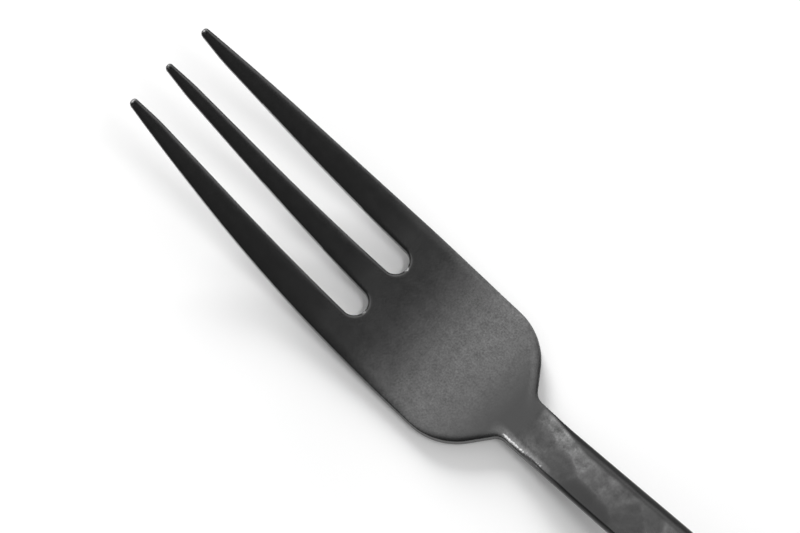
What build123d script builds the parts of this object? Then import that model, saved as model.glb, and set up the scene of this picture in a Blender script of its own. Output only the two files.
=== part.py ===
from build123d import *
import os
from math import cos, radians, sin, tan

# A three-tined dinner fork, forged from one bar of steel: a smooth head and a thicker, rounded handle.
# Millimetres. Stations run along the fork from the tips of the tines, and X runs the same way, with its
# zero under the middle of the fork. Y runs to the right-hand tine, and Z up from the table.
# The forging is written as five sections that meet face to face: three tines, the palm and the handle.

# Lengths along the fork
TINE_LENGTH = 47.5  # tips to the bottom of the slots
PALM_LENGTH = 31.0  # bottom of the slots to the neck
HANDLE_LENGTH = 127.5  # neck to the end of the handle

# Head, seen from above
HEAD_WIDTH = 25.0
MIDDLE_TINE_TIP_WIDTH = 1.15
MIDDLE_TINE_POINT_WIDTH = 2.1  # where the tine starts to narrow faster, to its tip
MIDDLE_TINE_ROOT_WIDTH = 5.0
OUTER_TINE_TIP_WIDTH = 1.3
OUTER_TINE_TIP_SET = 0.4  # how far the inner edge of an outer tine moves out at its tip
POINT_LENGTH = 5.0  # how much of each tine narrows faster
POINT_RADIUS = 35.0  # soft corner where that starts
SLOT_ROOT_WIDTH = 4.4
SLOT_ROOT_FLAT = 0.1  # straight bit between the two round corners at the bottom of a slot
TIP_FLAT = 0.2  # straight bit across the end of a tine
SIDE_RUN = 6.2  # straight side of the palm in front of the shoulder
SHOULDER_RADIUS = 10.8
SHOULDER_SLOPE = 53.0  # degrees between the shoulder's run-in and the fork's axis
NOTCH_RADIUS = 2.2  # hollow corner between shoulder and neck
NECK_RUN = 1.7  # straight neck between the shoulder's corner and the handle

# Head, seen from the side: the tines bend up, and the palm is a shallow dish that rises to both ends
TINE_SLOPE = 21.4  # degrees that the tines rise towards their tips
BEND_LENGTH = 32.0  # tips to the middle of the tines' bend
BEND_RADIUS = 95.0
DISH_SLOPE = 6.0  # degrees that the palm rises towards the tines
DISH_RUN = 31.0  # middle of the bend to the middle of the palm's dish
DISH_RADIUS = 125.0
NECK_SLOPE = 5.0  # degrees that the palm rises towards the neck
BELLY_GRIND = 0.12  # taken off under the dish, so that it stands flat on the table
TIP_THICKNESS = 1.4
BEND_THICKNESS = 2.0
PALM_THICKNESS = 2.2
NECK_THICKNESS = 2.4
EDGE_RADIUS = 0.35  # rounding of every edge of the head

# Handle, seen from the side: climb to the crest, fall to the foot, level foot
NECK_REACH = 3.5  # neck to the middle of the bend where the handle starts to climb faster
NECK_BEND_RADIUS = 40.0
CREST_LENGTH = 50.0  # neck to the crest
CREST_HEIGHT = 11.5  # underside of the two straight runs where they would cross
CREST_RADIUS = 120.0
FOOT_LENGTH = 15.0  # middle of the foot's bend to the end of the handle
FOOT_RADIUS = 40.0
FOOT_GRIND = 0.15  # taken off under the foot, so that it stands flat on the table
CREST_THICKNESS = 3.5
END_THICKNESS = 2.8

# Handle, across
NECK_WIDTH = 8.3
END_WIDTH = 11.6
FLARE = 1.2  # power of the widening towards the end: 1 is a straight taper
BEVEL_WIDTH = 1.7  # how far the soft bevels of the long edges reach in from the sides
SIDE_FLAT = 0.6  # upright band left between the upper and the lower bevel
NECK_BLEND = 7.0  # length over which the head's small edge rounding grows into the handle's bevels
END_CORNER_RADIUS = 4.2  # corners of the end, seen from above
NOSE_DROP = 0.9  # how much the end thins from above and from below

# How finely the handle is laid out, and how far blanks and cutters reach past what they shape
HANDLE_SECTIONS = 28
NOSE_SECTIONS = 5
NOSE_TURN = 72.0  # degrees of the end's corners that are drawn before its flat
OVERRUN = 5.0

NECK_STATION = TINE_LENGTH + PALM_LENGTH
FORK_LENGTH = NECK_STATION + HANDLE_LENGTH
SLOT_INNER_Y = MIDDLE_TINE_ROOT_WIDTH / 2
SLOT_OUTER_Y = SLOT_INNER_Y + SLOT_ROOT_WIDTH
SLOT_RADIUS = (SLOT_ROOT_WIDTH - SLOT_ROOT_FLAT) / 2
ROOT_STATION = TINE_LENGTH - SLOT_RADIUS  # where the tines meet the palm
DISH_STATION = BEND_LENGTH + DISH_RUN
DISH_LEAN = radians(DISH_SLOPE - NECK_SLOPE) / 2
DISH_TURN = radians(DISH_SLOPE + NECK_SLOPE) / 2
DISH_HEIGHT = DISH_RADIUS * (1 - cos(DISH_LEAN) / cos(DISH_TURN)) - BELLY_GRIND  # where its two runs would cross
BEND_HEIGHT = DISH_HEIGHT + DISH_RUN * tan(radians(DISH_SLOPE))
TIP_HEIGHT = BEND_HEIGHT + BEND_LENGTH * tan(radians(TINE_SLOPE))
NECK_HEIGHT = DISH_HEIGHT + (NECK_STATION - DISH_STATION) * tan(radians(NECK_SLOPE))
CREST_STATION = NECK_STATION + CREST_LENGTH
FOOT_STATION = FORK_LENGTH - FOOT_LENGTH
NOSE_STATION = FORK_LENGTH - END_CORNER_RADIUS * sin(radians(NOSE_TURN))


def smooth(start, end, share):
    """A value that leaves start and arrives at end without a kink, as share runs from 0 to 1."""
    share = min(max(share, 0.0), 1.0)
    return start + (end - start) * share * share * (3 - 2 * share)


def cross_plane(station, height=0.0):
    """The plane across the fork at a station: its X is the fork's Y, and its Y is height."""
    return Plane(origin=(station, 0, height), x_dir=(0, 1, 0), z_dir=(1, 0, 0))


def side_line(tip, bend, dish, neck, bend_radius, dish_radius):
    """A long edge of the head's side view, raised off its underside by a thickness at each corner."""
    rise = (NECK_HEIGHT + neck - DISH_HEIGHT - dish) / (NECK_STATION - DISH_STATION)
    return FilletPolyline(
        (0, TIP_HEIGHT + tip),
        (BEND_LENGTH, BEND_HEIGHT + bend),
        (DISH_STATION, DISH_HEIGHT + dish),
        (NECK_STATION + OVERRUN, NECK_HEIGHT + neck + OVERRUN * rise),
        radius=[bend_radius, dish_radius],
    )


def head_slab():
    """The head's side view, bent up towards the tips, carried across more than its width."""
    under = side_line(0, 0, 0, 0, BEND_RADIUS, DISH_RADIUS)
    over = side_line(
        TIP_THICKNESS,
        BEND_THICKNESS,
        PALM_THICKNESS,
        NECK_THICKNESS,
        BEND_RADIUS - BEND_THICKNESS,
        DISH_RADIUS - PALM_THICKNESS,
    )
    view = make_face([under, over, Line(under @ 0, over @ 0), Line(under @ 1, over @ 1)])
    return extrude(Plane.XZ * view, amount=HEAD_WIDTH, both=True)


def slot_plan():
    """The gap between the middle and the right-hand tine, seen from above and open past the tips."""
    tip_y = MIDDLE_TINE_TIP_WIDTH / 2
    point_y = MIDDLE_TINE_POINT_WIDTH / 2
    past_tip = OVERRUN / POINT_LENGTH
    edge = FilletPolyline(
        (-OVERRUN, tip_y - (point_y - tip_y) * past_tip),
        (POINT_LENGTH, point_y),
        (TINE_LENGTH, SLOT_INNER_Y),
        (TINE_LENGTH, SLOT_OUTER_Y),
        (POINT_LENGTH, SLOT_OUTER_Y),
        (-OVERRUN, SLOT_OUTER_Y + OUTER_TINE_TIP_SET * (1 + past_tip)),
        radius=[POINT_RADIUS, SLOT_RADIUS, SLOT_RADIUS, POINT_RADIUS],
    )
    return make_face([edge, Line(edge @ 0, edge @ 1)])


def head_outline():
    """The head's outer edge, seen from above: bowed sides, round shoulders and hollow notches."""
    side_y = HEAD_WIDTH / 2
    neck_y = NECK_WIDTH / 2
    tip_y = SLOT_OUTER_Y + OUTER_TINE_TIP_SET + OUTER_TINE_TIP_WIDTH
    notch_station = NECK_STATION - NECK_RUN
    shoulder_station = notch_station - (side_y - neck_y) / tan(radians(SHOULDER_SLOPE))
    side_station = shoulder_station - SHOULDER_RADIUS * tan(radians(SHOULDER_SLOPE / 2)) - SIDE_RUN
    shoulder = FilletPolyline(
        (side_station, side_y),
        (shoulder_station, side_y),
        (notch_station, neck_y),
        (NECK_STATION + OVERRUN, neck_y),
        radius=[SHOULDER_RADIUS, NOTCH_RADIUS],
    )
    bow = TangentArc((side_station, side_y), (0, tip_y), tangent=(-1, 0))
    right = [bow, shoulder]
    left = [mirror(edge, about=Plane.XZ) for edge in right]
    ends = [Line((0, tip_y), (0, -tip_y)), Line(shoulder @ 1, left[1] @ 1)]
    return make_face(right + left + ends)


def round_tips(plan, width, middle):
    """Rounds the tip corners of the middle tine, or of the two outer ones, down to the tip's flat."""
    corners = plan.vertices().filter_by_position(Axis.X, -TIP_FLAT, TIP_FLAT)
    chosen = corners.filter_by(lambda corner: (abs(corner.Y) < SLOT_INNER_Y) == middle)
    return fillet(chosen, radius=(width - TIP_FLAT) / 2)


def head_plan():
    """The head seen from above, with its two slots and its three round tips."""
    slot = slot_plan()
    plan = head_outline() - slot - mirror(slot, about=Plane.XZ)
    plan = round_tips(plan, MIDDLE_TINE_TIP_WIDTH, middle=True)
    return round_tips(plan, OUTER_TINE_TIP_WIDTH, middle=False)


def ground_flat(section):
    """Takes off what would lie below the table."""
    below = Box(2 * FORK_LENGTH, 2 * HEAD_WIDTH, OVERRUN, align=(Align.CENTER, Align.CENTER, Align.MAX))
    return section - Pos(FORK_LENGTH / 2, 0, 0) * below


def make_head():
    """The tines and the palm in one: side view crossed with plan, all edges rounded, cut off at the neck."""
    blank = head_slab() & extrude(head_plan(), amount=FORK_LENGTH, both=True)
    walls = blank.faces().filter_by(lambda face: abs(face.normal_at().Z) < 1e-3)
    outer_walls = walls.sort_by(Axis.X)[:-1]
    rounded = fillet(outer_walls.edges().filter_by(Axis.Z, reverse=True), radius=EDGE_RADIUS)
    return ground_flat(split(rounded, bisect_by=cross_plane(NECK_STATION), keep=Keep.BOTTOM))


def handle_width(station):
    share = (station - NECK_STATION) / HANDLE_LENGTH
    return NECK_WIDTH + (END_WIDTH - NECK_WIDTH) * share**FLARE


def handle_thickness(station):
    if station < CREST_STATION:
        return smooth(NECK_THICKNESS, CREST_THICKNESS, (station - NECK_STATION) / CREST_LENGTH)
    fall_length = NOSE_STATION - CREST_STATION
    return smooth(CREST_THICKNESS, END_THICKNESS, (station - CREST_STATION) / fall_length)


def bevel(station, thickness):
    """How far the handle's long edges are rounded, inwards and downwards: at the neck just as on the head."""
    share = (station - NECK_STATION) / NECK_BLEND
    reach = smooth(EDGE_RADIUS, BEVEL_WIDTH, share)
    return reach, smooth(EDGE_RADIUS, (thickness - SIDE_FLAT) / 2, share)


def handle_section(station, height, width, thickness):
    """A slice across the handle, standing on its underside's height: flat faces and elliptical corners."""
    reach, drop = bevel(station, thickness)
    upper_right = EllipticalCenterArc((width / 2 - reach, thickness / 2 - drop), reach, drop, arc_size=90)
    lower_right = mirror(upper_right, about=Plane.XZ)
    upper_left, lower_left = [mirror(corner, about=Plane.YZ) for corner in (upper_right, lower_right)]
    walls = [Line(upper_right @ 0, lower_right @ 0), Line(upper_left @ 0, lower_left @ 0)]
    flats = [Line(upper_right @ 1, upper_left @ 1), Line(lower_right @ 1, lower_left @ 1)]
    outline = make_face([upper_right, lower_right, upper_left, lower_left] + walls + flats)
    return cross_plane(station, height + thickness / 2) * outline


def full_section(station, height):
    return handle_section(station, height, handle_width(station), handle_thickness(station))


def handle_underside():
    """The line of the handle's underside, drawn as station and height, up to where the foot is level."""
    bend_height = NECK_HEIGHT + NECK_REACH * tan(radians(NECK_SLOPE))
    return FilletPolyline(
        (NECK_STATION, NECK_HEIGHT),
        (NECK_STATION + NECK_REACH, bend_height),
        (CREST_STATION, CREST_HEIGHT),
        (FOOT_STATION, -FOOT_GRIND),
        (NOSE_STATION, -FOOT_GRIND),
        radius=[NECK_BEND_RADIUS, CREST_RADIUS, FOOT_RADIUS],
    )


def handle_arch():
    """The handle from the neck over its crest to the start of the level foot."""
    line = handle_underside()
    level_foot = line.edges().sort_by(Axis.X)[-1]
    arch_share = 1 - level_foot.length / line.length
    points = [line @ (arch_share * step / HANDLE_SECTIONS) for step in range(HANDLE_SECTIONS + 1)]
    sections = [full_section(point.X, point.Y) for point in points]
    return loft(sections), points[-1].X


def handle_nose():
    """The last bit of the handle: corners that round in plan, thinning from above and below."""
    sections = []
    for step in range(NOSE_SECTIONS + 1):
        turn = radians(NOSE_TURN * step / NOSE_SECTIONS)
        station = NOSE_STATION + END_CORNER_RADIUS * sin(turn)
        width = handle_width(station) - 2 * END_CORNER_RADIUS * (1 - cos(turn))
        drop = NOSE_DROP * (1 - cos(turn))
        sections.append(handle_section(station, drop - FOOT_GRIND, width, END_THICKNESS - 2 * drop))
    return loft(sections)


def make_handle():
    """Arch, level foot and nose, joined into one length."""
    arch, foot_start = handle_arch()
    foot_ends = [full_section(station, -FOOT_GRIND) for station in (foot_start, NOSE_STATION)]
    foot = loft(foot_ends, ruled=True)
    return ground_flat(arch + foot + handle_nose())


def make_sections():
    """The five named sections of the forging, with stations measured from the tips."""
    root = cross_plane(ROOT_STATION)
    head = make_head()
    tines = split(head, bisect_by=root, keep=Keep.BOTTOM).solids().sort_by(Axis.Y)
    return {
        "tine_left": tines[0],
        "tine_middle": tines[1],
        "tine_right": tines[2],
        "palm": split(head, bisect_by=root, keep=Keep.TOP),
        "handle": make_handle(),
    }


os.makedirs("parts", exist_ok=True)
for name, section in make_sections().items():
    export_step(Pos(-FORK_LENGTH / 2, 0, 0) * section, f"parts/{name}.step")
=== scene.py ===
from math import ceil, cos, pi, radians, sin, tan

import bmesh
import bpy
import numpy as np
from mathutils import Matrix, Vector


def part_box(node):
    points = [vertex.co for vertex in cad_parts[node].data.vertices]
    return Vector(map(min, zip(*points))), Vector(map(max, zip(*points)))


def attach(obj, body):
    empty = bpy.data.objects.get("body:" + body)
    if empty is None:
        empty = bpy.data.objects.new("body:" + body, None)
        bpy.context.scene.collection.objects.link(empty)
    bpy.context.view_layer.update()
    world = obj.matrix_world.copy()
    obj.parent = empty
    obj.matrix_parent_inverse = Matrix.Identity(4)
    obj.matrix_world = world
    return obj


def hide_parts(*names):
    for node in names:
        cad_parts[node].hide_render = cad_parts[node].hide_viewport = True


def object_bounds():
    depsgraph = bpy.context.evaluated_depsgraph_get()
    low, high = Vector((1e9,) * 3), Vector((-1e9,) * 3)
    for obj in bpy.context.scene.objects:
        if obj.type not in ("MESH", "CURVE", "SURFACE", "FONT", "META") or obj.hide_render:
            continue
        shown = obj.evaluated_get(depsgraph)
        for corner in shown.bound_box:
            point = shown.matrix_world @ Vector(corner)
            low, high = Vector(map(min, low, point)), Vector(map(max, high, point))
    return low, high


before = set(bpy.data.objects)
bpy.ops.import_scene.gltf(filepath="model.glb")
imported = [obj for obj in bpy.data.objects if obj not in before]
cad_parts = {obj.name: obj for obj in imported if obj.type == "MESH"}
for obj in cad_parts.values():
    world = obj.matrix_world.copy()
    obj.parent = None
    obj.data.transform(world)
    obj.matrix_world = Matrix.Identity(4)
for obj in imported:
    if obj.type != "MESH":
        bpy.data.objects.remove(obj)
CAD_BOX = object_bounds()

# A three-tined dinner fork, hand-forged from one bar of steel and blackened: a smooth satin head and a
# hammered handle. Sizes are in millimetres. Stations run along the fork from the tips of the tines, and the
# frame gives the stations where the five sections of the forging meet.
MM = 0.001
FORK_LENGTH = (CAD_BOX[1].x - CAD_BOX[0].x) / MM
ROOT_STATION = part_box("palm")[0].x / MM + FORK_LENGTH / 2
NECK_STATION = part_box("handle")[0].x / MM + FORK_LENGTH / 2
HEAD_HALF_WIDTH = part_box("palm")[1].y / MM

# Head, seen from above
SLOT_INNER_Y = 2.5
SLOT_OUTER_Y = 6.9
SLOT_RADIUS = 2.15
SLOT_STATION = ROOT_STATION + SLOT_RADIUS
MIDDLE_TIP_HALF_WIDTH = 0.575
MIDDLE_POINT_HALF_WIDTH = 1.05
OUTER_TIP_WIDTH = 1.3
OUTER_TIP_SET = 0.4
POINT_STATION = 5.0
POINT_RADIUS = 35.0
TIP_FLAT = 0.2
TIP_REACH = 0.9
SIDE_RUN = 6.2
SHOULDER_RADIUS = 10.8
SHOULDER_SLOPE = radians(53)
NOTCH_RADIUS = 2.2
NECK_RUN = 1.7
NECK_HALF_WIDTH = 4.15

# Soft edges of the head: how far they fall below the face, the power that flattens their round, and how far
# they reach in from the sides of the tines, of the palm and of the slots, with the run over which one reach
# fades to another
EDGE_DROP = 0.24
EDGE_POWER = 0.75
EDGE_ANGLES = np.linspace(0, pi / 2, 13)
TINE_EDGE_REACH = 1.8
PALM_EDGE_REACH = 1.5
SLOT_EDGE_REACH = 0.5
REACH_RUN = 16.0

# Head, seen from the side: the tines bend up, and the palm is a shallow dish that stands on the table
BEND_STATION = 32.0
BEND_RADIUS = 95.0
DISH_STATION = 63.0
DISH_RADIUS = 125.0
TINE_SLOPE = radians(21.4)
DISH_SLOPE = radians(6)
NECK_SLOPE = radians(5)
BELLY_GRIND = 0.12
TIP_THICKNESS = 1.354
BEND_THICKNESS = 2.0
PALM_THICKNESS = 2.2
NECK_THICKNESS = 2.4
DISH_SAG = DISH_RADIUS * (cos((DISH_SLOPE - NECK_SLOPE) / 2) / cos((DISH_SLOPE + NECK_SLOPE) / 2) - 1)
DISH_HEIGHT = -DISH_SAG - BELLY_GRIND
BEND_HEIGHT = DISH_HEIGHT + (DISH_STATION - BEND_STATION) * tan(DISH_SLOPE)
TIP_HEIGHT = BEND_HEIGHT + BEND_STATION * tan(TINE_SLOPE)
NECK_HEIGHT = DISH_HEIGHT + (NECK_STATION - DISH_STATION) * tan(NECK_SLOPE)

# Handle, seen from the side: a climb from the neck to the crest, a fall to a level foot, and a thin nose
NECK_REACH = 3.5
NECK_BEND_RADIUS = 40.0
CREST_REACH = 50.0
CREST_STATION = NECK_STATION + CREST_REACH
CREST_HEIGHT = 11.5
CREST_RADIUS = 120.0
FOOT_LENGTH = 15.0
FOOT_RADIUS = 40.0
FOOT_GRIND = 0.15
NOSE_RADIUS = 4.2
NOSE_TURN = radians(72)
NOSE_STATION = FORK_LENGTH - NOSE_RADIUS * sin(NOSE_TURN)
NOSE_DROP = 0.9
CREST_THICKNESS = 3.5
END_THICKNESS = 2.8

# Handle, across
END_WIDTH = 11.6
FLARE = 1.2
BEVEL_WIDTH = 1.7
LEFT_BEVEL_WIDTH = 0.6
SIDE_FLAT = 0.6
NECK_BLEND = 7.0

# Hammer marks: the hammer's face is a shallow dome, and each blow is placed by station and y, with its
# depth, the way that it leans along and across the fork, and how light its mark is. The first blows are
# those seen in front of the crest; their lightness is partly wear and partly painted light, higher on the
# right-hand row, on the side the light comes from, and lower on the left. The others stray by steps of
# irrational numbers.
# At the neck and at the end the marks run out to a plain face.
HAMMER_DOME = 45.0
RIDGE_SOFTNESS = 0.03
RIDGE_LIGHT = 0.8
PLAIN_RUN = 3.0
BLOW_STEP = 2.35
STRAY_STEPS = (0.618034, 0.754878, 0.569840, 0.414214, 0.324718, 0.236068)
# Columns: station, y, depth, lean along, lean across, lightness (partly painted light).
FIRST_BLOWS = np.array([
    (79.8, 3.0, 0.08, 0.01, -0.03, 0.80),
    (81.8, 0.2, 0.10, 0.00, 0.00, 0.22),
    (81.6, -3.0, 0.08, 0.00, 0.02, 0.50),
    (83.9, 2.4, 0.10, 0.01, -0.05, 1.00),
    (86.4, -1.3, 0.12, 0.00, 0.02, 0.25),
    (86.7, 2.5, 0.10, 0.02, -0.05, 1.00),
    (89.7, 2.0, 0.11, 0.01, -0.04, 0.85),
    (92.2, -2.2, 0.13, -0.01, 0.08, 0.00),
    (93.6, 1.0, 0.12, 0.01, -0.03, 0.55),
    (96.4, -2.7, 0.13, -0.01, 0.08, 0.00),
    (97.0, 1.0, 0.12, 0.00, -0.02, 0.45),
    (100.4, 0.2, 0.13, -0.01, 0.02, 0.18),
    (101.6, -3.0, 0.13, -0.01, 0.06, 0.08),
    (104.0, 1.7, 0.12, 0.00, -0.03, 0.25),
])

# Rubbed places, with how far they are rubbed: a bright line on the neck's left-hand edge with scuffs
# beside it, glints at the bottoms of the slots, and the tips
GLINT_STATION = 79.4
GLINT_REACH = 2.9
GLINT_Y = -3.68
GLINT_WIDTH = 0.22
GLINT_RUB = 0.9
SCUFF_STATION = 81.5
SCUFF_REACH = 4.6
SCUFF_Y = -2.5
SCUFF_FADE = 1.1
SCUFF_RUB = 0.46
SLOT_GLINT_Y = 4.8
SLOT_GLINT_WIDTH = 0.6
SLOT_GLINT_REACH = 0.45
TIP_RUB_REACH = 1.6
TIP_RUB = 0.6

# Worn satin and painted light, with its lightness: worn satin beside the neck's left-hand edge; on the head
# a painted sheen as station and lightness, and a painted highlight in a strip inside the right-hand
# shoulder. On the handle the hammer marks start behind a bowed front, and a long right-hand bevel, which
# widens behind the neck, is painted dark as shade.
NECK_SATIN_STATION = 81.2
NECK_SATIN_REACH = 5.2
NECK_SATIN_Y = -2.3
NECK_SATIN_LIGHT = 1.4
# Painted sheen: lightest in the middle of the palm, where the light mirrors in its dish, and low on the
# tines; the satin's grain rides on it.
HEAD_SATIN_AND_SHEEN = np.array([
    (0, 0.2), (36, 0.2), (43, 0), (47, 0.05), (51, 0.35), (56, 0.5),
    (61, 0.8), (65, 0.9), (69, 0.65), (72, 0.3), (75, 0),
])
# Painted highlight: a light strip inside the right-hand shoulder's edge.
SHOULDER_SHEEN_STATION = 68.0
SHOULDER_SHEEN_REACH = 7.0
SHOULDER_SHEEN_INSET = 1.7
SHOULDER_SHEEN_WIDTH = 1.0
SHOULDER_SHEEN_LIGHT = 0.8
# Painted light: the head's satin grows lighter towards the right, the side the light comes from.
RIGHT_PAINTED_LIGHT_GAIN = 0.012
MARKS_STATION = 79.1
MARKS_BOW = 0.12
MARKS_FADE = 1.6
SHADED_BEVEL_STATION = 80.0
SHADED_BEVEL_RUN = 10.0
SHADED_BEVEL_WIDTH = 1.3
SHADED_BEVEL_FADE = 0.7
WHOLE_BLACK = 0.175


def fade(share):
    """Runs from 0 to 1 without a kink: three times the square of the share less twice its cube."""
    share = np.clip(share, 0, 1)
    return share * share * (3 - 2 * share)


def unit(vectors):
    """Vectors divided by their own lengths."""
    return vectors / np.linalg.norm(vectors, axis=-1, keepdims=True)


def run_line(station, corners, radii):
    """Height or y, at each station, of a line of straight runs: between two corners a share of theirs, and
    near an inner corner that of the circle of its radius that touches both runs."""
    corners = np.asarray(corners, float)
    height = np.interp(station, corners[:, 0], corners[:, 1])
    for before, corner, after, radius in zip(corners, corners[1:], corners[2:], radii):
        back, ahead = unit(before - corner), unit(after - corner)
        half = np.arccos(back @ ahead) / 2
        inward = unit(back + ahead)
        centre = corner + inward * radius / sin(half)
        first, last = corner[0] + np.array([back[0], ahead[0]]) * radius / tan(half)
        upright = np.sqrt(np.clip(radius**2 - (station - centre[0]) ** 2, 0, None))
        arc = centre[1] - np.sign(inward[1]) * upright
        height = np.where((station > first) & (station < last), arc, height)
    return height


def rounded_path(corners, radii, step):
    """Points along straight runs whose inner corners are circle arcs that touch both runs, about a step
    apart, and at each point the unit vector to the right of the walk."""
    corners = np.asarray(corners, float)
    runs = unit(np.diff(corners, axis=0))
    points, rights = [], []
    start = corners[0]
    for corner, run, onward, radius in zip(corners[1:], runs, runs[1:], radii):
        turn = np.arctan2(run[0] * onward[1] - run[1] * onward[0], run @ onward)
        reach = radius * tan(abs(turn) / 2)
        arc_start = corner - run * reach
        count = max(1, ceil(np.linalg.norm(arc_start - start) / step))
        points.append(start + np.arange(count)[:, None] / count * (arc_start - start))
        rights.append(np.tile((run[1], -run[0]), (count, 1)))
        count = max(8, ceil(radius * abs(turn) / step))
        angle = np.arctan2(-run[0], run[1]) + turn * np.arange(count) / count
        right = np.stack([np.cos(angle), np.sin(angle)], axis=1)
        hub = arc_start - np.sign(turn) * radius * np.array([run[1], -run[0]])
        points.append(hub + np.sign(turn) * radius * right)
        rights.append(right)
        start = corner + onward * reach
    count = max(1, ceil(np.linalg.norm(corners[-1] - start) / step))
    points.append(start + np.linspace(0, 1, count + 1)[:, None] * (corners[-1] - start))
    rights.append(np.tile((runs[-1][1], -runs[-1][0]), (count + 1, 1)))
    return np.concatenate(points), np.concatenate(rights)


def head_line(tip, bend, dish, neck):
    """Corners and radii of a long line of the head's side view, raised off its underside by a thickness at
    each corner, with the arcs smaller by the thickness there."""
    corners = [
        (0, TIP_HEIGHT + tip),
        (BEND_STATION, BEND_HEIGHT + bend),
        (DISH_STATION, DISH_HEIGHT + dish),
        (NECK_STATION, NECK_HEIGHT + neck),
    ]
    return corners, (BEND_RADIUS - bend, DISH_RADIUS - dish)


HEAD_UNDER = head_line(0, 0, 0, 0)
HEAD_OVER = head_line(TIP_THICKNESS, BEND_THICKNESS, PALM_THICKNESS, NECK_THICKNESS)


def forging_waves(plan):
    """Faint unevenness of the hand-forged faces: three crossed sine waves, fading out before the neck."""
    station, y = plan[..., 0], plan[..., 1]
    waves = np.sin(0.41 * station + 0.23 * y) + np.sin(0.19 * station - 0.52 * y + 1.7)
    waves += np.sin(0.67 * station + 0.61 * y + 0.6) * 0.5
    return 0.006 * (waves - 2.5) * fade((NECK_STATION - station) / 6)


def head_over(plan):
    """Upper face of the head above plan points: its side line and the forging's faint waves."""
    return run_line(plan[..., 0], *HEAD_OVER) + forging_waves(plan)


def head_under(plan):
    """Under face of the head below plan points: its side line, ground flat where it stands on the table."""
    return np.maximum(run_line(plan[..., 0], *HEAD_UNDER), 0)


def lift(plan, height):
    """Plan points with their heights as the third coordinate."""
    return np.concatenate([plan, height[..., None]], axis=-1)


def rim(path, inward, reach):
    """A softly rounded edge carried along a plan path. Its profile is a flattened quarter round under the
    face, the upright wall and one above: at angle a it lies inwards by the reach times a power of one less
    the cosine of a, and off the face by the drop times one less the sine of a."""
    inset = reach[:, None] * (1 - np.cos(EDGE_ANGLES)) ** EDGE_POWER
    plan = path[:, None] + inward[:, None] * inset[..., None]
    drop = EDGE_DROP * (1 - np.sin(EDGE_ANGLES))
    under = lift(plan, head_under(plan) + drop)
    over = lift(plan, head_over(plan) - drop)
    return np.concatenate([under[:, ::-1], over], axis=1)


def side_layout():
    """Stations where the head's straight side starts and where its shoulder and notch lie, and the radius
    of the bow from the side to the outer tip: the run squared plus the rise squared, over twice the rise."""
    notch = NECK_STATION - NECK_RUN
    shoulder = notch - (HEAD_HALF_WIDTH - NECK_HALF_WIDTH) / tan(SHOULDER_SLOPE)
    side = shoulder - SHOULDER_RADIUS * tan(SHOULDER_SLOPE / 2) - SIDE_RUN
    rise = HEAD_HALF_WIDTH - SLOT_OUTER_Y - OUTER_TIP_SET - OUTER_TIP_WIDTH
    return side, shoulder, notch, (side**2 + rise**2) / (2 * rise)


def bowed_side(station):
    """Y of the right-hand outer edge in front of the straight side: an arc that leaves it tangentially."""
    side, _, _, bow = side_layout()
    return HEAD_HALF_WIDTH - bow + np.sqrt(bow**2 - (side - station) ** 2)


def middle_edge(station):
    """Y of the middle tine's right-hand edge: a straight taper from the slot, a faster one at its point."""
    corners = [
        (0, MIDDLE_TIP_HALF_WIDTH),
        (POINT_STATION, MIDDLE_POINT_HALF_WIDTH),
        (SLOT_STATION, SLOT_INNER_Y),
    ]
    return run_line(station, corners, [POINT_RADIUS])


def outer_slot_edge(station):
    """Y of the right-hand tine's inner edge: straight from the slot, then out to the tip at its point."""
    tip_y = SLOT_OUTER_Y + OUTER_TIP_SET
    corners = [(0, tip_y), (POINT_STATION, SLOT_OUTER_Y), (SLOT_STATION, SLOT_OUTER_Y)]
    return run_line(station, corners, [POINT_RADIUS])


def edge_arm(station, edge, metal):
    """Points along a tine's long edge, and the unit vectors into its metal, which lies towards plus or
    minus y: the edge's slope turned by a right angle."""
    y = edge(station)
    slope = np.gradient(y, station)
    inward = unit(np.stack([-slope, np.ones_like(slope)], axis=1)) * metal
    return np.stack([station, y], axis=1), inward


def tine_grid(low_edge, high_edge, tip_width, root_reaches):
    """A tine as one grid. Rows follow its edge from the root round the tip and back, and columns run from
    the spine of the under face outwards, round the edge and back to the spine of the upper face. Points
    between edge and spine are shares of the way between both. The reach of each edge fades to its own at
    the root."""
    station = np.linspace(ROOT_STATION, TIP_REACH, 130)
    low_arm, low_inward = edge_arm(station, low_edge, 1)
    high_arm, high_inward = edge_arm(station, high_edge, -1)
    tip_station = np.array([TIP_REACH, 0.0])
    low, high = low_edge(tip_station), high_edge(tip_station)
    corners = [(TIP_REACH, low[0]), (0, low[1]), (0, high[1]), (TIP_REACH, high[0])]
    tip, tip_inward = rounded_path(corners, [(tip_width - TIP_FLAT) / 2] * 2, 0.06)
    path = np.concatenate([low_arm, tip, high_arm[::-1]])
    inward = np.concatenate([low_inward, tip_inward, high_inward[::-1]])
    arm_spine = (low_arm + high_arm) / 2
    spine = np.concatenate([arm_spine, np.tile(arm_spine[-1], (len(tip), 1)), arm_spine[::-1]])
    root = fade((path[:, 0] - ROOT_STATION + REACH_RUN) / REACH_RUN)
    root_reach = np.where(np.arange(len(path)) < len(path) / 2, *root_reaches)
    reach = TINE_EDGE_REACH + (root_reach - TINE_EDGE_REACH) * root
    reach = np.minimum(reach, 0.75 * np.linalg.norm(spine - path, axis=1))
    foot = path + inward * reach[:, None]
    share = np.linspace(0, 1, 6)[1:]
    plan = foot[:, None] + (spine - foot)[:, None] * share[None, :, None]
    under = lift(plan, head_under(plan))
    over = lift(plan, head_over(plan))
    return np.concatenate([under[:, ::-1], rim(path, inward, reach), over], axis=1)


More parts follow.
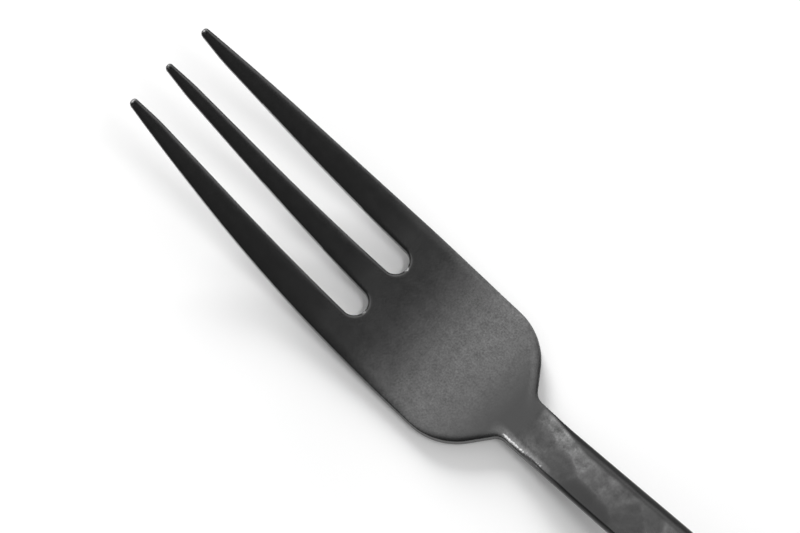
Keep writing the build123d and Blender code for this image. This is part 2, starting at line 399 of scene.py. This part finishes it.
def palm_side():
    """The palm's right-hand edge from the tine's root to the neck, and the unit vectors into its metal."""
    side, shoulder, notch, _ = side_layout()
    bow, bow_inward = edge_arm(np.linspace(ROOT_STATION, side, 34), bowed_side, -1)
    corners = [
        (side, HEAD_HALF_WIDTH),
        (shoulder, HEAD_HALF_WIDTH),
        (notch, NECK_HALF_WIDTH),
        (NECK_STATION, NECK_HALF_WIDTH),
    ]
    rest, rest_inward = rounded_path(corners, (SHOULDER_RADIUS, NOTCH_RADIUS), 0.4)
    return np.concatenate([bow[:-1], rest]), np.concatenate([bow_inward[:-1], rest_inward])


def palm_slot():
    """The bottom of the right-hand slot from the middle tine's root to the outer one's, and the unit
    vectors into the metal."""
    corners = [
        (ROOT_STATION, middle_edge(ROOT_STATION)),
        (SLOT_STATION, SLOT_INNER_Y),
        (SLOT_STATION, SLOT_OUTER_Y),
        (ROOT_STATION, SLOT_OUTER_Y),
    ]
    return rounded_path(corners, (SLOT_RADIUS, SLOT_RADIUS), 0.2)


def mirrored(vectors):
    """The same on the left-hand side: y changes its sign."""
    return vectors * np.array([1, -1])


def palm_grids():
    """The palm as rims and two faces. A face is a grid whose columns start on the slots' bottoms and the
    tines' roots and end at the neck. A column keeps its share of the half width, and a row its share of the
    length left to the neck."""
    side, side_inward = palm_side()
    slot, slot_inward = palm_slot()
    side_reach = np.full(len(side), PALM_EDGE_REACH)
    slot_reach = np.full(len(slot), SLOT_EDGE_REACH)
    side_foot = side + side_inward * side_reach[:, None]
    slot_foot = slot + slot_inward * slot_reach[:, None]
    lane = np.linspace(0, 1, 12)[1:-1, None]
    outer_lane = slot_foot[-1] + lane * (side_foot[0] - slot_foot[-1])
    half_front = np.concatenate([slot_foot, outer_lane, side_foot[:1]])
    middle_lane = mirrored(slot_foot[0]) + lane * (slot_foot[0] - mirrored(slot_foot[0]))
    front = np.concatenate([mirrored(half_front)[::-1], middle_lane, half_front])
    share = (side_foot[:, 0] - side_foot[0, 0]) / (NECK_STATION - side_foot[0, 0])
    station = front[:, 0] + (NECK_STATION - front[:, 0]) * share[:, None]
    half_width = np.interp(station, side_foot[:, 0], side_foot[:, 1])
    y = half_width * front[:, 1] / np.interp(front[:, 0], side_foot[:, 0], side_foot[:, 1])
    plan = np.stack([station, y], axis=-1)
    edges = [(side, side_inward, side_reach), (slot, slot_inward, slot_reach)]
    edges += [(mirrored(path), mirrored(inward), reach) for path, inward, reach in edges]
    rims = [rim(*edge) for edge in edges]
    return rims + [lift(plan, head_over(plan)), lift(plan, head_under(plan))]


def blows(rows, first, seed):
    """Hammer blows in staggered rows along the handle: the n-th lies n steps behind the first, takes its
    row in turn, and strays by the fractional parts of n times some irrational numbers."""
    n = np.arange(int((FORK_LENGTH - PLAIN_RUN - first) / BLOW_STEP))
    stray = (np.outer(n + seed, STRAY_STEPS) % 1) * 2 - 1
    row = (n % rows) / (rows - 1) * 2 - 1
    station = first + BLOW_STEP * n + 0.9 * stray[:, 0]
    y = row * (2.2 + 0.008 * (station - NECK_STATION)) + 0.8 * stray[:, 1]
    depth = 0.12 + 0.03 * stray[:, 2]
    lean_along = 0.02 * stray[:, 3]
    lean_across = 0.03 * stray[:, 4] - 0.05 * row
    light = 0.3 + 0.2 * stray[:, 5]
    return np.stack([station, y, depth, lean_along, lean_across, light], axis=1)


UPPER_BLOWS = np.concatenate([FIRST_BLOWS, blows(2, 106.5, 3)])
UNDER_BLOWS = blows(2, 81.0, 11)


def hammered(station, y, struck):
    """Depth of the hammered face, how near each point is to a ridge, and how light it is worn. A blow's
    mark is a paraboloid, its depth less its lean times the way from its middle, less half of that way
    squared over the hammer's dome. The deepest mark is what is left, softened near the ridges by the
    logarithm of the sum of the marks' exponentials. A ridge lies where the two deepest are level, and there
    the marks' lightness is shared."""
    shape = station.shape
    station, y = station.reshape(-1, 1), y.reshape(-1, 1)
    along, across = station - struck[:, 0], y - struck[:, 1]
    marks = struck[:, 2] - struck[:, 3] * along - struck[:, 4] * across
    marks = marks - (along**2 + across**2) / (2 * HAMMER_DOME)
    deepest = marks.max(axis=1)
    weights = np.exp((marks - deepest[:, None]) / RIDGE_SOFTNESS)
    depth = np.clip(deepest + RIDGE_SOFTNESS * np.log(weights.sum(axis=1)), 0, None)
    ridge = np.sort(weights, axis=1)[:, -2]
    shares = np.sqrt(weights)
    light = shares @ struck[:, 5] / shares.sum(axis=1)
    return depth.reshape(shape), ridge.reshape(shape), light.reshape(shape)


def handle_underside(station):
    """Height of the handle's underside: a climb in two runs to the crest, a fall, and the level foot."""
    corners = [
        (NECK_STATION, NECK_HEIGHT),
        (NECK_STATION + NECK_REACH, NECK_HEIGHT + NECK_REACH * tan(NECK_SLOPE)),
        (CREST_STATION, CREST_HEIGHT),
        (FORK_LENGTH - FOOT_LENGTH, -FOOT_GRIND),
        (FORK_LENGTH, -FOOT_GRIND),
    ]
    return run_line(station, corners, (NECK_BEND_RADIUS, CREST_RADIUS, FOOT_RADIUS))


def handle_lines(station):
    """Underside, width and thickness of the handle at each station, how far its bevels have grown out of
    the head's soft edges, and how far they reach down. The width grows with a power of the length, the
    thickness fades from neck to crest and from crest to end, and the nose narrows and thins by one less the
    cosine of its turn."""
    share = (station - NECK_STATION) / (FORK_LENGTH - NECK_STATION)
    width = 2 * NECK_HALF_WIDTH + (END_WIDTH - 2 * NECK_HALF_WIDTH) * share**FLARE
    climb = fade((station - NECK_STATION) / CREST_REACH)
    fall = fade((station - CREST_STATION) / (NOSE_STATION - CREST_STATION))
    thickness = NECK_THICKNESS + (CREST_THICKNESS - NECK_THICKNESS) * climb
    thickness = thickness + (END_THICKNESS - CREST_THICKNESS) * fall
    bend = 1 - np.sqrt(1 - np.clip((station - NOSE_STATION) / NOSE_RADIUS, 0, sin(NOSE_TURN)) ** 2)
    under = handle_underside(station) + NOSE_DROP * bend
    width = width - 2 * NOSE_RADIUS * bend
    thickness = thickness - 2 * NOSE_DROP * bend
    blend = fade((station - NECK_STATION) / NECK_BLEND)
    drop = EDGE_DROP + ((thickness - SIDE_FLAT) / 2 - EDGE_DROP) * blend
    return under, width, thickness, blend, drop


def section_layout():
    """The columns round the handle's section as shares: of the flat half width, of the bevel's reach, of
    the flat half height and of the bevel's drop. Corners are the rim's flattened quarter rounds, joined by
    straight flats."""
    flat = np.linspace(1, -1, 34)[1:-1]
    wall = np.linspace(1, -1, 5)[1:-1]
    ones = np.ones_like
    round_y = 1 - (1 - np.cos(EDGE_ANGLES)) ** EDGE_POWER
    upper_right = np.stack([ones(round_y), round_y, ones(round_y), np.sin(EDGE_ANGLES)])
    top = np.stack([flat, 0 * flat, ones(flat), ones(flat)])
    left_wall = np.stack([-ones(wall), -ones(wall), wall, 0 * wall])
    upper_left = upper_right[:, ::-1] * np.array([[-1], [-1], [1], [1]])
    half = np.concatenate([upper_right, top, upper_left, left_wall], axis=1)
    return np.concatenate([half, -half], axis=1)


def handle_grid():
    """The handle as one tube: its section carried along the stations from the neck over the crest to the
    nose. The hammered depth is taken off above and below, less towards the sides by the square of the
    bevel's sine."""
    station = np.linspace(NECK_STATION, NOSE_STATION, 400)
    turn = np.linspace(0, NOSE_TURN, 14)[1:]
    station = np.concatenate([station, NOSE_STATION + NOSE_RADIUS * np.sin(turn)])
    under, width, thickness, blend, drop = [line[:, None] for line in handle_lines(station)]
    flat_y, bevel_y, flat_z, bevel_z = section_layout()
    left = np.where(bevel_z > 0, LEFT_BEVEL_WIDTH, BEVEL_WIDTH)
    bevel = left + (BEVEL_WIDTH - left) * (flat_y + 1) / 2
    reach = PALM_EDGE_REACH + (bevel - PALM_EDGE_REACH) * blend
    y = (width / 2 - reach) * flat_y + reach * bevel_y
    z = under + thickness / 2 + (thickness / 2 - drop) * flat_z + drop * bevel_z
    along = np.broadcast_to(station[:, None], y.shape)
    ends = fade((along - NECK_STATION) / PLAIN_RUN) * fade((FORK_LENGTH - along) / PLAIN_RUN)
    upper = hammered(along, y, UPPER_BLOWS)[0] * ends * np.clip(bevel_z, 0, 1) ** 2
    lower = hammered(along, y, UNDER_BLOWS)[0] * ends * np.clip(-bevel_z, 0, 1) ** 2
    z = np.maximum(z - upper + lower, 0)
    grid = np.stack([along, y, z], axis=-1)
    middle = grid[-1].mean(axis=0)
    inset = np.array([0.9, 0.6, 0.3, 0.0])[:, None, None]
    grid = np.concatenate([grid, middle + inset * (grid[-1] - middle)])
    return np.concatenate([grid, grid[:, :1]], axis=1)


def upper_height(station):
    """Height of the fork's upper face along its middle line, before any hammering."""
    under, _, thickness, _, _ = handle_lines(np.clip(station, NECK_STATION, FORK_LENGTH))
    return np.where(station < NECK_STATION, run_line(station, *HEAD_OVER), under + thickness)


def rubbed_places(station, y, z):
    """How far the blackening is rubbed off, from 0 to 1, at points of the forging: on the upper left-hand
    edge of the neck and, less, beside it, on the tips, and at the bottoms of the slots."""
    along = (station - GLINT_STATION) / GLINT_REACH
    across = (y - GLINT_Y) / GLINT_WIDTH
    edge = np.exp(-(along**6) - across**2) * GLINT_RUB
    along = (station - SCUFF_STATION) / SCUFF_REACH
    beside = np.exp(-(along**4)) * fade((SCUFF_Y - y) / SCUFF_FADE) * SCUFF_RUB
    neck = np.maximum(edge, beside) * fade((z - upper_height(station) + 0.5) / 0.2)
    tips = fade((TIP_RUB_REACH - station) / TIP_RUB_REACH) * TIP_RUB
    along = (station - SLOT_STATION) / SLOT_GLINT_REACH
    across = (np.abs(y) - SLOT_GLINT_Y) / SLOT_GLINT_WIDTH
    return np.clip(neck + tips + np.exp(-(along**2) - across**2), 0, 1)


def handle_wear_and_light(station, y, z):
    """Lightness at points of the handle, on the face that they belong to: that of the hammer's marks, partly
    worn and partly painted light, lighter on the ridges between them."""
    under, _, thickness, _, _ = handle_lines(np.clip(station, NECK_STATION, FORK_LENGTH))
    _, upper_ridge, upper_light = hammered(station, y, UPPER_BLOWS)
    _, under_ridge, under_light = hammered(station, y, UNDER_BLOWS)
    above = z > under + thickness / 2
    upper = upper_light * (1 + RIDGE_LIGHT * upper_ridge)
    lower = under_light * (1 + RIDGE_LIGHT * under_ridge)
    return np.where(above, upper, lower)


def neck_wear(station, y):
    """Lightness of the satin beside the neck's left-hand edge: a flat-topped bell along it, fading in
    across it."""
    along = (station - NECK_SATIN_STATION) / NECK_SATIN_REACH
    return np.exp(-(along**4)) * fade(NECK_SATIN_Y - y) * NECK_SATIN_LIGHT


def head_satin_and_sheen(station, y, z):
    """How light the head is, at any height z: worn satin with painted sheen. It follows the station as a
    painted sheen, most in the middle of the palm and none before the neck, a little more to the right as
    painted light, with a painted highlight in a strip inside the right-hand shoulder."""
    # painted sheen along the palm by station, a little lighter to the right as painted light
    palm = np.interp(station, *HEAD_SATIN_AND_SHEEN.T) * (1 + RIGHT_PAINTED_LIGHT_GAIN * y)
    side, _ = palm_side()
    inset = np.interp(station, side[:, 0], side[:, 1]) - y
    across = (inset - SHOULDER_SHEEN_INSET) / SHOULDER_SHEEN_WIDTH
    along = (station - SHOULDER_SHEEN_STATION) / SHOULDER_SHEEN_REACH
    # painted highlight: the light strip inside the right-hand shoulder
    shoulder = np.exp(-(across**2) - along**4) * SHOULDER_SHEEN_LIGHT
    return np.maximum(np.maximum(palm, shoulder), neck_wear(station, y))


def handle_satin_and_painted_light(station, y, z):
    """How light the handle is: worn satin with painted light and shade. Behind a bowed front at the neck
    each mark has its own lightness, partly painted light, the left-hand edge is lighter, and the long
    right-hand bevel, which widens behind the neck, is painted dark as shade."""
    _, width, _, _, _ = handle_lines(station)
    # painted shade: the right-hand bevel is held dark, as the light falls away from it
    bevel = SHADED_BEVEL_WIDTH * fade((station - SHADED_BEVEL_STATION) / SHADED_BEVEL_RUN)
    worn = handle_wear_and_light(station, y, z) * fade((width / 2 - y - bevel) / SHADED_BEVEL_FADE)
    front = fade((station - MARKS_STATION + MARKS_BOW * y**2) / MARKS_FADE) * fade(station - NECK_STATION)
    return np.maximum(WHOLE_BLACK + (worn - WHOLE_BLACK) * front, neck_wear(station, y))


def forged_piece(name, grids, finish, node):
    """One closed mesh from grids of points: each cell of a grid is a four-sided face, shared points are
    joined, and the open sections where the forging is parted are capped. Point values say where it is
    rubbed and how light."""
    points, faces, first = [], [], 0
    for grid in grids:
        index = first + np.arange(grid.shape[0] * grid.shape[1]).reshape(grid.shape[:2])
        cells = [index[:-1, :-1], index[1:, :-1], index[1:, 1:], index[:-1, 1:]]
        faces.append(np.stack(cells, axis=-1).reshape(-1, 4))
        points.append(grid.reshape(-1, 3))
        first += index.size
    points = np.concatenate(points) - np.array([FORK_LENGTH / 2, 0, 0])
    mesh = bpy.data.meshes.new(name)
    mesh.from_pydata((points * MM).tolist(), [], np.concatenate(faces).tolist())
    work = bmesh.new()
    work.from_mesh(mesh)
    bmesh.ops.remove_doubles(work, verts=work.verts, dist=2e-6)
    bmesh.ops.holes_fill(work, edges=[edge for edge in work.edges if edge.is_boundary], sides=0)
    bmesh.ops.recalc_face_normals(work, faces=work.faces)
    work.to_mesh(mesh)
    work.free()
    mesh.shade_smooth()
    mesh.set_sharp_from_angle(angle=radians(50))
    place = np.empty(len(mesh.vertices) * 3)
    mesh.vertices.foreach_get("co", place)
    station, y, z = place.reshape(-1, 3).T / MM + np.array([[FORK_LENGTH / 2], [0], [0]])
    # The satin values carry worn satin together with painted sheen on the head and painted light and shade
    # on the handle.
    satin_and_light_places = handle_satin_and_painted_light if node == "handle" else head_satin_and_sheen
    for key, places in (("rubbed", rubbed_places), ("satin", satin_and_light_places)):
        mesh.attributes.new(key, "FLOAT", "POINT").data.foreach_set("value", places(station, y, z))
    mesh.materials.append(finish)
    piece = bpy.data.objects.new(name, mesh)
    bpy.context.scene.collection.objects.link(piece)
    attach(piece, "root")
    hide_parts(node)
    return piece


def feed(tree, sockets, values):
    """Gives each socket its value: a value that is a socket itself is linked, and any other is set."""
    for socket, value in zip(sockets, values):
        if isinstance(value, bpy.types.NodeSocket):
            tree.links.new(value, socket)
        else:
            socket.default_value = value


def new_node(tree, kind, settings=None, **values):
    """A node with its settings and the values of its sockets."""
    node = tree.nodes.new(kind)
    for name, value in (settings or {}).items():
        setattr(node, name, value)
    feed(tree, [node.inputs[name] for name in values], values.values())
    return node


def ramp(tree, value, low, high, to_low=0.0, to_high=1.0):
    """A value mapped straight from low..high to to_low..to_high and held there."""
    node = tree.nodes.new("ShaderNodeMapRange")
    sockets = [node.inputs[name] for name in ("Value", "From Min", "From Max", "To Min", "To Max")]
    feed(tree, sockets, (value, low, high, to_low, to_high))
    return node.outputs["Result"]


def calculate(tree, operation, first, second):
    """The result of an operation on two numbers, each a socket or a plain value."""
    node = new_node(tree, "ShaderNodeMath", {"operation": operation})
    feed(tree, node.inputs, (first, second))
    return node.outputs[0]


def mixed(tree, share, first, second):
    """The colour that lies a share of the way from the first to the second, each a socket or a colour."""
    node = new_node(tree, "ShaderNodeMix", {"data_type": "RGBA"})
    feed(tree, [node.inputs[index] for index in (0, 6, 7)], (share, first, second))
    return node.outputs[2]


def attribute(tree, name):
    """The values that a piece carries at its points under a name."""
    return new_node(tree, "ShaderNodeAttribute", {"attribute_name": name}).outputs["Fac"]


def placed(tree, group):
    """A node group placed in a material."""
    return new_node(tree, "ShaderNodeGroup", {"node_tree": group})


def tumbled_grain():
    """Node group of the tumbled satin surface: fine specks, broad clouds, and a height that roughens it."""
    group = bpy.data.node_groups.new("tumbled_grain", "ShaderNodeTree")
    for name in ("Specks", "Clouds", "Height"):
        group.interface.new_socket(name, in_out="OUTPUT", socket_type="NodeSocketFloat")
    place = group.nodes.new("ShaderNodeTexCoord").outputs["Object"]
    noise = "ShaderNodeTexNoise"
    specks = new_node(group, noise, Vector=place, Scale=3200.0, Detail=2.0, Roughness=0.6)
    clouds = new_node(group, noise, Vector=place, Scale=620.0, Detail=4.0, Roughness=0.6)
    out = group.nodes.new("NodeGroupOutput")
    group.links.new(ramp(group, specks.outputs[0], 0.3, 0.7), out.inputs["Specks"])
    group.links.new(ramp(group, clouds.outputs[0], 0.3, 0.7), out.inputs["Clouds"])
    group.links.new(specks.outputs[0], out.inputs["Height"])
    return group


def rubbed_off():
    """Node group that breaks a rubbed value into scuffs: it counts where it beats the specks and clouds."""
    group = bpy.data.node_groups.new("rubbed_off", "ShaderNodeTree")
    for name in ("Rubbed", "Specks", "Clouds"):
        group.interface.new_socket(name, in_out="INPUT", socket_type="NodeSocketFloat")
    group.interface.new_socket("Bare", in_out="OUTPUT", socket_type="NodeSocketFloat")
    given = group.nodes.new("NodeGroupInput").outputs
    noise = calculate(group, "ADD", calculate(group, "MULTIPLY", given["Specks"], 0.55), 0.1)
    noise = calculate(group, "ADD", noise, calculate(group, "MULTIPLY", given["Clouds"], 0.35))
    beat = calculate(group, "SUBTRACT", given["Rubbed"], noise)
    out = group.nodes.new("NodeGroupOutput")
    group.links.new(ramp(group, beat, -0.1, 0.4), out.inputs["Bare"])
    return group


def blackened_steel(name, grain, scuffs, cloudy, black, worn, bare, rough):
    """Blackened steel: dark where it is whole, lighter in the satin's specks, and bare on rubbed places."""
    material = bpy.data.materials.new(name)
    material.use_nodes = True
    tree = material.node_tree
    shader = tree.nodes["Principled BSDF"]
    specks, clouds, height = placed(tree, grain).outputs
    broken = placed(tree, scuffs)
    feed(tree, broken.inputs, (attribute(tree, "rubbed"), specks, clouds))
    tone = calculate(tree, "MULTIPLY", specks, 1 - cloudy)
    tone = calculate(tree, "ADD", tone, calculate(tree, "MULTIPLY", clouds, cloudy))
    # The satin value brings in the painted sheen, highlight and shade along with the worn satin.
    tone = calculate(tree, "MULTIPLY", attribute(tree, "satin"), ramp(tree, tone, 0.0, 1.0, 0.07, 0.93))
    colour = mixed(tree, broken.outputs["Bare"], mixed(tree, tone, black, worn), bare)
    tree.links.new(colour, shader.inputs["Base Color"])
    shader.inputs["Metallic"].default_value = 1.0
    tree.links.new(ramp(tree, clouds, 0.0, 1.0, rough - 0.015, rough + 0.015), shader.inputs["Roughness"])
    bump = new_node(tree, "ShaderNodeBump", Strength=0.25, Distance=0.00003, Height=height)
    tree.links.new(bump.outputs["Normal"], shader.inputs["Normal"])
    return material


def table_finish():
    """The white table: a matt surface, with a little light of its own where it is looked at or mirrored."""
    material = bpy.data.materials.new("white_table")
    material.use_nodes = True
    tree = material.node_tree
    shader = tree.nodes["Principled BSDF"]
    shader.inputs["Base Color"].default_value = (0.97, 0.97, 0.97, 1)
    shader.inputs["Roughness"].default_value = 1.0
    shader.inputs["Specular IOR Level"].default_value = 0.0
    shader.inputs["Emission Color"].default_value = (1, 1, 1, 1)
    path = tree.nodes.new("ShaderNodeLightPath").outputs
    seen = calculate(tree, "MAXIMUM", path["Is Camera Ray"], path["Is Glossy Ray"])
    seen = calculate(tree, "MAXIMUM", seen, path["Is Transmission Ray"])
    tree.links.new(calculate(tree, "MULTIPLY", seen, 0.02), shader.inputs["Emission Strength"])
    return material


def add_table():
    """A wide flat table under the fork."""
    mesh = bpy.data.meshes.new("table")
    half = 3.0
    corners = [(-half, -half, 0), (half, -half, 0), (half, half, 0), (-half, half, 0)]
    mesh.from_pydata(corners, [], [(0, 1, 2, 3)])
    mesh.materials.append(table_finish())
    table = bpy.data.objects.new("table", mesh)
    bpy.context.scene.collection.objects.link(table)


def add_room():
    """The room as the steel mirrors it: light near the horizon, dim higher up, and darker on the left."""
    world = bpy.data.worlds.new("room")
    bpy.context.scene.world = world
    world.use_nodes = True
    tree = world.node_tree
    place = tree.nodes.new("ShaderNodeTexCoord").outputs["Generated"]
    way = new_node(tree, "ShaderNodeSeparateXYZ", Vector=place).outputs
    level = ramp(tree, way["Z"], 0.1, 0.8, 0.985, 0.335)
    level = calculate(tree, "MULTIPLY", level, ramp(tree, way["Y"], -1.0, 1.0, 0.66, 1.34))
    tree.links.new(level, tree.nodes["Background"].inputs["Strength"])
    tree.nodes["Background"].inputs["Color"].default_value = (1, 1, 1, 1)


def add_softbox(name, place, size, power, on_steel):
    """A soft light at a place in metres, turned to the fork's middle, for the steel or for the table."""
    light = bpy.data.lights.new(name, "AREA")
    light.shape = "RECTANGLE"
    light.size, light.size_y = size
    light.energy = power
    lamp = bpy.data.objects.new(name, light)
    lamp.location = place
    lamp.rotation_euler = (-Vector(place)).to_track_quat("-Z", "Y").to_euler()
    lamp.visible_glossy, lamp.visible_diffuse = on_steel, not on_steel
    bpy.context.scene.collection.objects.link(lamp)


def add_camera():
    """A long lens high over the head, looking down across the fork from its lower right."""
    data = bpy.data.cameras.new("camera")
    data.lens = 305.4
    data.sensor_width = 36.0
    data.clip_start, data.clip_end = 0.01, 20
    camera = bpy.data.objects.new("camera", data)
    azimuth, elevation = radians(-45.835), radians(75.842)
    level = cos(elevation)
    towards = Vector((level * cos(azimuth), level * sin(azimuth), sin(elevation)))
    aim = Vector((-56.976, 4.967, 0))
    distance = 1073.0
    camera.location = (aim + towards * distance) * MM
    camera.rotation_euler = towards.to_track_quat("Z", "Y").to_euler()
    bpy.context.scene.collection.objects.link(camera)
    bpy.context.scene.camera = camera


GRAIN = tumbled_grain()
SCUFFS = rubbed_off()
BARE_STEEL = (0.4, 0.4, 0.4, 1)
# worn is the colour at full satin value, which also carries the painted sheen and shade.
HEAD_FINISH = blackened_steel(
    "satin_black_head", GRAIN, SCUFFS, cloudy=0.4,
    black=(0.036, 0.036, 0.036, 1), worn=(0.11, 0.11, 0.11, 1), bare=BARE_STEEL, rough=0.23,
)
HANDLE_FINISH = blackened_steel(
    "hammered_black_handle", GRAIN, SCUFFS, cloudy=0.65,
    black=(0.027, 0.027, 0.027, 1), worn=(0.13, 0.13, 0.13, 1), bare=BARE_STEEL, rough=0.25,
)

middle_tine = tine_grid(
    lambda station: -middle_edge(station), middle_edge, 2 * MIDDLE_TIP_HALF_WIDTH,
    (SLOT_EDGE_REACH, SLOT_EDGE_REACH),
)
right_tine = tine_grid(outer_slot_edge, bowed_side, OUTER_TIP_WIDTH, (SLOT_EDGE_REACH, PALM_EDGE_REACH))
left_tine = tine_grid(
    lambda station: -bowed_side(station), lambda station: -outer_slot_edge(station), OUTER_TIP_WIDTH,
    (PALM_EDGE_REACH, SLOT_EDGE_REACH),
)
forged_piece("forged_tine_left", [left_tine], HEAD_FINISH, "tine_left")
forged_piece("forged_tine_middle", [middle_tine], HEAD_FINISH, "tine_middle")
forged_piece("forged_tine_right", [right_tine], HEAD_FINISH, "tine_right")
forged_piece("forged_palm", palm_grids(), HEAD_FINISH, "palm")
forged_piece("hammered_handle", [handle_grid()], HANDLE_FINISH, "handle")

add_table()
add_room()
add_softbox("steel_light_overhead", (-0.486, 0.097, 1.0), (1.32, 0.79), 7.2, True)
add_softbox("steel_light_right", (0, 0.983, 0.916), (2.69, 0.53), 9.5, True)
add_softbox("table_light_front", (-2.484, 1.455, 0.846), (1.14, 1.37), 127, False)
add_softbox("table_light_overhead", (0.8, 0.55, 2.84), (1.18, 0.5), 18, False)
add_camera()
bpy.context.scene.view_settings.view_transform = "Standard"
